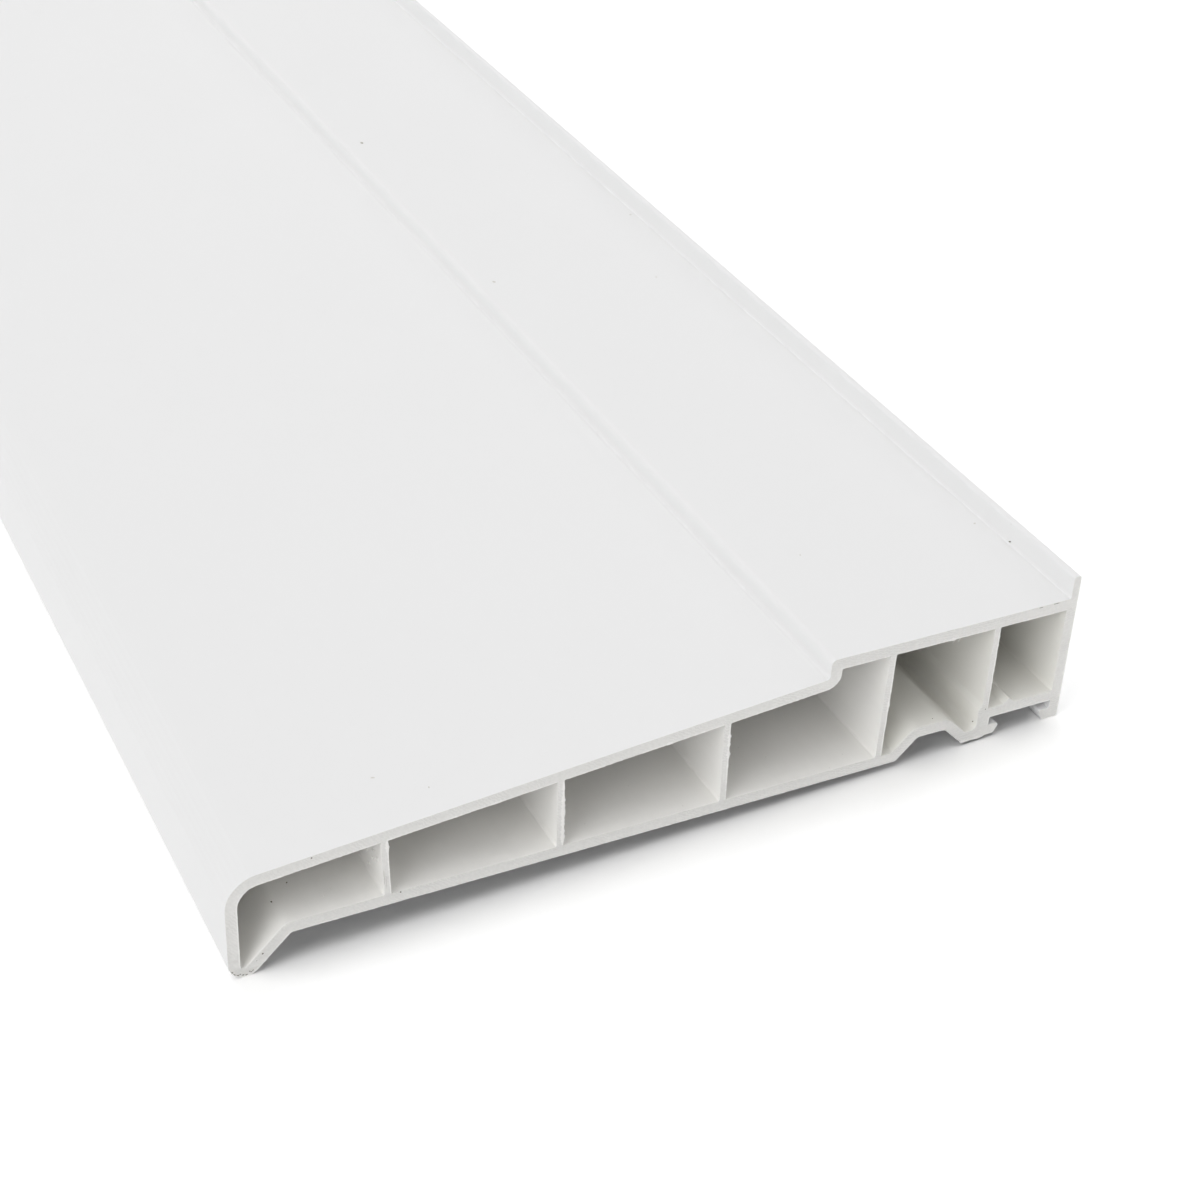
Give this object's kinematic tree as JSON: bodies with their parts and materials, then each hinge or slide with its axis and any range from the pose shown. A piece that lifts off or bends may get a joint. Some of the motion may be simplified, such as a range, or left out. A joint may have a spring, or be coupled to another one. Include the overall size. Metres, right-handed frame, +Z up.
{
  "type": "window sill board",
  "caption": "Length of hollow white plastic window sill board with a sloping top, drip nose, frame seat and rear upstand.",
  "frame": {"origin": "middle of the board's length and depth, on the level floor that the drip nose and the back foot rest on", "axes": "+X along the board's length, +Y from the drip nose to the back with the upstand, +Z up; the board lies as put down on a floor, so its underside and frame seat fall 2.47 degrees towards +Y"},
  "size_m": [1.25, 0.1816, 0.0348],
  "materials": {
    "white_pvc": "satin, as extruded"
  },
  "bodies": {
    "root": {"sill_board": "white_pvc"}
  },
  "joints": []
}
